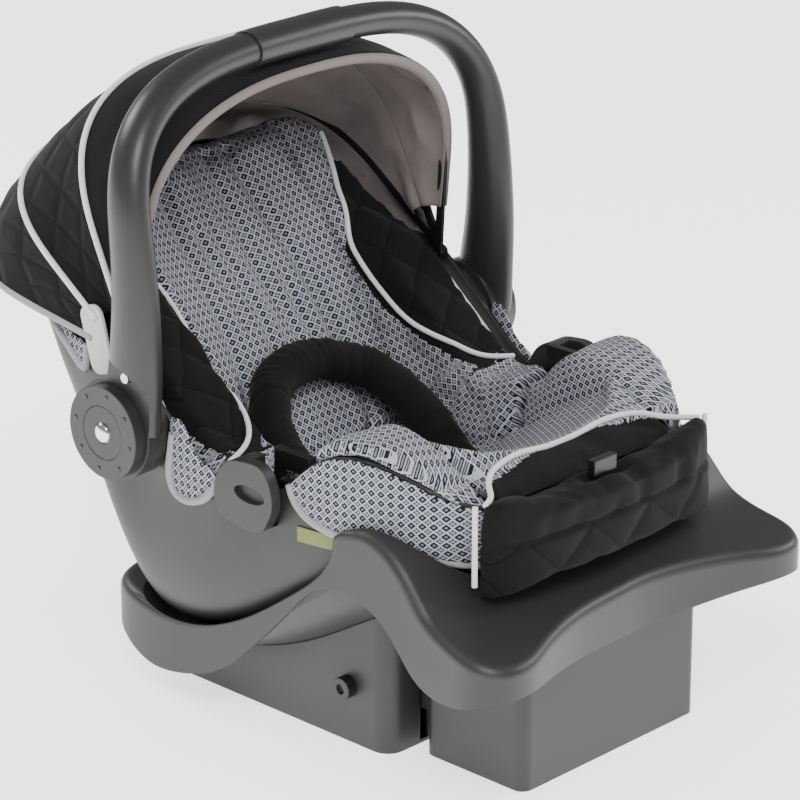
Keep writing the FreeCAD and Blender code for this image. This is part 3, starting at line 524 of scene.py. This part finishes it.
stuffed("back_cushion", "back_pad", printed, dress=dressBack, limit=0.005)
seatPad = stuffed("seat_cushion", "seat_pad", printed, dress=dressSeat, limit=0.005)
footEnd = {"half": 0.136, "y": -0.262, "bow": 0.032}


def footLine(across):
    # where the print ends and the black foot end starts, bowed towards the head in the middle
    turn = np.clip(across / footEnd["half"], -1, 1) * math.pi / 2
    return footEnd["y"] + footEnd["bow"] * np.cos(turn) ** 0.7


middles = middlesOf(seatPad)
ahead = (middles[:, 1] < footLine(middles[:, 0])) & (np.abs(middles[:, 0]) < footEnd["half"])
partlyIn(seatPad, blackCloth, ahead)

# piping along the wing's black cloth, from the hip up to the head
wingEdge = [(0.170, -0.029, 0.231), (0.150, -0.026, 0.232), (0.128, -0.018, 0.236),
            (0.118, 0.010, 0.245), (0.116, 0.045, 0.256), (0.113, 0.067, 0.269),
            (0.109, 0.091, 0.292), (0.109, 0.111, 0.314), (0.121, 0.136, 0.343),
            (0.138, 0.160, 0.368), (0.150, 0.176, 0.392)]
wingAcross, wingAlong, wingUp = zip(*wingEdge)


def laidOn(tree, line, stand):
    # a line moved onto the nearest place of a surface and lifted off it a little
    found = []
    for spot in line:
        near, normal, index, far = tree.find_nearest(Vector(spot))
        found.append(near + normal * stand)
    return evenly(found, 0.006)


def isBlack(middles):
    # above the piping, and from the shoulder up also outside it
    edgeUp = np.interp(middles[:, 1], wingAlong, wingUp) - 0.006
    edgeAcross = np.interp(middles[:, 1], wingAlong, wingAcross) - 0.002
    outside = (middles[:, 1] < 0.111) | (np.abs(middles[:, 0]) > edgeAcross)
    return (middles[:, 1] > -0.028) & (middles[:, 2] > edgeUp) & outside


for side, sign in (("left", -1), ("right", 1)):
    wing = stuffed(f"wing_pad_{side}", f"wing_{side}", printed, dress=dressWing,
                   limit=0.005)
    partlyIn(wing, quilted, isBlack(middlesOf(wing)))
    stuffed(f"leg_bolster_{side}", f"bolster_{side}", printed, dress=dressBolster,
            limit=0.006)
    line = [(sign * x, y, z) for x, y, z in wingEdge]
    tube(f"wing_piping_{side}", laidOn(surface(wing), evenly(line, 0.012), 0.0012),
         pipeRadius["wing"], whitePiping, "carrier")


def dressPillow(spots, flat, out):
    # short creases run across the tube
    turn = np.arctan2(spots[:, 0], spots[:, 1] + 0.01)
    places = np.column_stack([turn * 6, spots[:, 2] * 8, turn * 0])
    return -0.0022 * np.abs(cloudy(places, 1.6, 7)) ** 0.7


stuffed("body_pillow", "pillow", blackCloth, grid=0.0045, limit=0.006, shrink=0.002,
        wrinkle=0.003, dress=dressPillow)


def frontChart(spots):
    return np.column_stack([spots[:, 0], spots[:, 2] * 1.15 - spots[:, 1] * 0.6])


footSeam = 0.212
leverPit = {"y": -0.276, "half": 0.026, "reach": 0.006, "depth": 0.010, "above": 0.238}


def dressFoot(spots, flat, out):
    # quilted below a seam, loosely creased above it
    below = spots[:, 2] < footSeam
    crease = cloudy(spots * np.array([1.6, 1, 1]), 26, 4)
    loose = 0.0030 * crease - 0.0020 * np.abs(crease)
    raised = np.where(below, puffs(flat, quiltPitch["foot"], 0.0016), loose)
    seam = np.abs(spots[:, 2] - footSeam)
    raised -= 0.0016 * np.exp(-(seam / 0.002) ** 2)
    across = spots[:, 0] / leverPit["half"]
    along = (spots[:, 1] - leverPit["y"]) / leverPit["reach"]
    pit = leverPit["depth"] * np.exp(-(across ** 4 + along ** 4))
    return raised - np.where(spots[:, 2] > leverPit["above"], pit, 0)


footRoll = stuffed("front_panel", "foot_roll", quiltedFoot, limit=0.008,
                   dress=dressFoot, chart=frontChart)
partlyIn(footRoll, blackCloth, middlesOf(footRoll)[:, 2] > footSeam)
print("seat pad ready")


# ---- flaps outside the shell

shellSurface = surface(nodes["carrier_shell"])
# each flap's lower edge seen from the side
flapEdges = {
    "hub": [(0.010, 0.262), (0.014, 0.246), (0.020, 0.212), (0.015, 0.193), (-0.002, 0.191),
            (-0.022, 0.199), (-0.034, 0.214), (-0.040, 0.234), (-0.058, 0.250)],
    "leg": [(-0.122, 0.272), (-0.112, 0.252), (-0.107, 0.236), (-0.112, 0.222), (-0.124, 0.210),
            (-0.146, 0.203), (-0.175, 0.198), (-0.205, 0.195), (-0.235, 0.189), (-0.256, 0.183)],
    "rear": [(0.117, 0.296), (0.118, 0.270), (0.140, 0.283), (0.160, 0.296), (0.176, 0.306)],
}


def sideChart(spots):
    return spots[:, 1:]


for side, sign in (("left", -1), ("right", 1)):
    for which, edge in flapEdges.items():
        stuffed(f"{which}_flap_{side}", f"{which}_skirt_{side}", printed,
                grid=0.0025, pressure=1.0, limit=0.0015, shrink=0.0, wrinkle=0.0008,
                chart=sideChart)
        line = castSide(shellSurface, evenly(edge, 0.005), sign * 0.4, -sign, 0.003)
        if len(line) > 3:
            tube(f"{which}_binding_{side}", line, pipeRadius["binding"], greyBinding, "carrier")
    corner = [(sign * 0.137, -0.2645, z) for z in np.linspace(0.180, 0.246, 14)]
    tube(f"corner_piping_{side}", corner, pipeRadius["foot"], whitePiping, "carrier")
line = [(x, float(footLine(x)), 0.262) for x in np.linspace(-0.134, 0.134, 40)]
tube("foot_piping", laidOn(surface(seatPad, footRoll), line, 0.001), pipeRadius["foot"],
     whitePiping, "carrier")
tab = box("adjuster_tab", (-0.016, -0.280, 0.240), (0.010, -0.273, 0.2525), blackPlastic)
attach(tab, "carrier")
print("flaps ready")


# ---- canopy

pivot = Vector((0, 0.066, 0.298))
# at each seam: its lean, the cloth's half width and reach, how far the lining lies under it,
# and how square the arch is
canopySeams = {
    "lean": (-5.2, 25.0, 55.0, 68.5, 82.0),
    "width": (0.1803, 0.1833, 0.1913, 0.1913, 0.1913),
    "reach": (0.2088, 0.2258, 0.2238, 0.2390, 0.2400),
    "under": (0.0082, 0.0125, 0.0115, 0.0055, 0.0050),
    "square": (2.5, 2.8, 3.0, 3.2, 3.3),
    "foot": 0.042,
}


def hoop(lean, drop, count=72):
    # the cloth's line over the pivot at one lean, evenly spaced from foot to foot
    width, reach, under, square = [
        float(np.interp(lean, canopySeams["lean"], canopySeams[key]))
        for key in ("width", "reach", "under", "square")]
    drop *= under
    width -= drop
    reach -= drop
    spring = reach * 0.40
    line = [(width, canopySeams["foot"])]
    for turn in np.linspace(0, math.pi, 90):
        across = math.copysign(abs(math.cos(turn)) ** (2 / square), math.cos(turn))
        line.append((width * across, spring + (reach - spring) * abs(math.sin(turn)) ** (2 / square)))
    line.append((-width, canopySeams["foot"]))
    line = np.array(line)
    run = runAlong(line)
    at = np.linspace(0, run[-1], count)
    across = np.interp(at, run, line[:, 0])
    up = np.interp(at, run, line[:, 1])
    tilt = math.radians(lean)
    along = pivot.y + up * math.sin(tilt)
    return np.column_stack([across, along, pivot.z + up * math.cos(tilt)]), at


def gridMesh(name, rows):
    # rows of equally many points joined into a sheet
    count = len(rows[0])
    starts = [row * count + col for row in range(len(rows) - 1) for col in range(count - 1)]
    faces = [(start, start + 1, start + count + 1, start + count) for start in starts]
    mesh = bpy.data.meshes.new(name)
    mesh.from_pydata([tuple(spot) for spot in np.vstack(rows)], [], faces)
    mesh.update()
    return mesh


def canopySheet(name, first, last, drop, material, rows=22, ripple=0.0):
    grid = []
    flat = []
    for share in np.linspace(0, 1, rows):
        lean = first + (last - first) * share
        line, run = hoop(lean, drop + 0.25 * math.sin(math.pi * share))
        grid.append(line)
        flat.append(np.column_stack([run, np.full(len(run), math.radians(lean) * 0.2)]))
    mesh = gridMesh(name, grid)
    piece = newPiece(name, mesh, None)
    finer = piece.modifiers.new("finer", "SUBSURF")
    finer.levels = finer.render_levels = 1
    layFlat(mesh, np.vstack(flat))
    mesh = settled(piece)
    spots = points(mesh)
    lean = np.degrees(np.arctan2(spots[:, 1] - pivot.y, spots[:, 2] - pivot.z))
    slack = np.sin(math.pi * ((lean - first) / (last - first)).clip(0, 1))
    swell = cloudy(spots, 16, 2 + len(name)) * 0.003 + cloudy(spots, 45, 4) * 0.0012
    if ripple:
        stretched = np.column_stack([spots[:, 0] * 1.8, spots[:, 1:] * 0.8])
        swell = swell + ripple * (cloudy(stretched, 30, 9) - np.abs(cloudy(spots, 24, 6)))
    setPoints(mesh, spots + normals(mesh) * (swell * slack)[:, None])
    mesh.materials.clear()
    mesh.materials.append(material)
    smoothMesh(mesh)
    thick = piece.modifiers.new("thick", "SOLIDIFY")
    thick.thickness = 0.0008
    thick.offset = 0
    settled(piece)
    low, high = hoop(first, 0)[0], hoop(last, 0)[0]
    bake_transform(piece)
    return piece


canopyPanels = (
    ("front", 0, ("bow_front", "bow_middle"), blackCloth),
    ("middle", 1, ("bow_middle", "bow_rear"), quilted),
    ("rear", 2, ("bow_rear", "carrier"), quilted),
)
leans = (-5.2, 25.0, 55.0, 82.0)
hemWrap = {"lean": 1.1, "middle": 0.5, "half": 0.5}
for which, index, bodies, material in canopyPanels:
    start, end = leans[index], leans[index + 1]
    outer = canopySheet(f"canopy_{which}", start, end, 0.0, material)
    under = canopySheet(f"canopy_lining_{which}", start, end, 1.0, lining, ripple=0.006)
    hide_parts(f"canopy_panel_{which}")
    for piece in (outer, under):
        across = float(hoop(end, 0)[1][-1])
for name, lean, body in (("front", leans[1], "bow_middle"), ("rear", leans[2], "bow_rear")):
    line = hoop(lean, -0.08, 90)[0]
    tube(f"canopy_piping_{name}", line, pipeRadius["canopy"], whitePiping, body)
# the front hem wraps the bow, from the outer cloth round to the lining
rings = []
for turn in np.linspace(-90, 90, 9):
    away = hemWrap["lean"] * math.cos(math.radians(turn))
    drop = hemWrap["middle"] + hemWrap["half"] * math.sin(math.radians(turn))
    rings.append(hoop(leans[0] - away, drop, 90)[0])
mesh = gridMesh("canopy_front_hem", rings)
mesh.materials.append(lining)
smoothMesh(mesh)
newPiece("canopy_front_hem", mesh, "bow_front")
line = hoop(leans[3], 0.3, 90)[0]
tube("canopy_hem", line, pipeRadius["hem"], greyBinding, "carrier")
print("canopy ready")


# ---- hub trim

def pip(name, place, radius, flatness, material, body):
    bpy.ops.mesh.primitive_uv_sphere_add(segments=32, ring_count=16, radius=radius, location=(0, 0, 0))
    made = bpy.context.object
    made.name = name
    for vertex in made.data.vertices:
        vertex.co.x *= flatness
        vertex.co += Vector(place)
    made.data.materials.append(material)
    smoothMesh(made.data)
    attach(made, body)


hub = Vector((0, 0.060, 0.244))
hubDome = {"radius": 0.0082, "flatness": 0.45}
hubDots = {"count": 8, "circle": 0.032, "radius": 0.0022, "flatness": 0.25, "start": 10}
for side, sign in (("left", -1), ("right", 1)):
    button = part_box(f"handle_button_{side}")
    face = max(abs(button[0].x), abs(button[1].x)) * sign
    pip(f"hub_dome_{side}", (face, hub.y, hub.z), hubDome["radius"], hubDome["flatness"], chrome,
        f"button_{side}")
    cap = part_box(f"hub_cap_{side}")
    face = max(abs(cap[0].x), abs(cap[1].x)) * sign
    for step in range(hubDots["count"]):
        turn = math.radians(45 * step + hubDots["start"])
        along = hub.y + hubDots["circle"] * math.cos(turn)
        up = hub.z + hubDots["circle"] * math.sin(turn)
        pip(f"hub_dot_{side}_{step}", (face, along, up), hubDots["radius"], hubDots["flatness"],
            blackPlastic, "handle")
print("hub ready")


# ---- setting

floorRecipe = Recipe("floor", (0.90, 0.90, 0.90), 0.8)
floorRecipe.shader.inputs["Emission Color"].default_value = (1, 1, 1, 1)
floorRecipe.shader.inputs["Emission Strength"].default_value = 1.6
floorRecipe.shader.inputs["Specular IOR Level"].default_value = 0.1
floor = box("floor", (-14, -14, -0.02), (14, 14, 0.0), floorRecipe.material)

world = bpy.data.worlds.new("studio") if not scene.world else scene.world
scene.world = world
world.use_nodes = True
backdrop = world.node_tree.nodes["Background"]
backdrop.inputs[0].default_value = (1.0, 1.0, 1.0, 1)
rays = world.node_tree.nodes.new("ShaderNodeLightPath")
dimmer = world.node_tree.nodes.new("ShaderNodeMapRange")
dimmer.inputs["To Min"].default_value = 1.1
dimmer.inputs["To Max"].default_value = 0.35
world.node_tree.links.new(rays.outputs["Is Glossy Ray"], dimmer.inputs["Value"])
world.node_tree.links.new(dimmer.outputs[0], backdrop.inputs[1])


def softLight(name, place, aim, size, power):
    lamp = bpy.data.lights.new(name, "AREA")
    lamp.shape = "DISK"
    lamp.size = size
    lamp.energy = power
    made = bpy.data.objects.new(name, lamp)
    made.location = place
    made.rotation_euler = (Vector(aim) - Vector(place)).to_track_quat("-Z", "Y").to_euler()
    scene.collection.objects.link(made)


softLight("key", (-1.6, -1.5, 2.4), (0, 0, 0.25), 1.2, 62)
softLight("side", (2.2, -1.2, 1.5), (0, 0, 0.25), 1.0, 30)
softLight("rim", (-0.6, 2.2, 2.0), (0, 0, 0.35), 1.0, 40)

camera = bpy.data.cameras.new("view")
camera.sensor_width = 36
camera.lens = 172.5
eye = bpy.data.objects.new("view", camera)
eye.location = (-2.12358, -2.08745, 1.36309)
eye.rotation_euler = Vector((0.67470, 0.64600, -0.35674)).to_track_quat("-Z", "Y").to_euler()
scene.collection.objects.link(eye)
scene.camera = eye

print("scene ready")
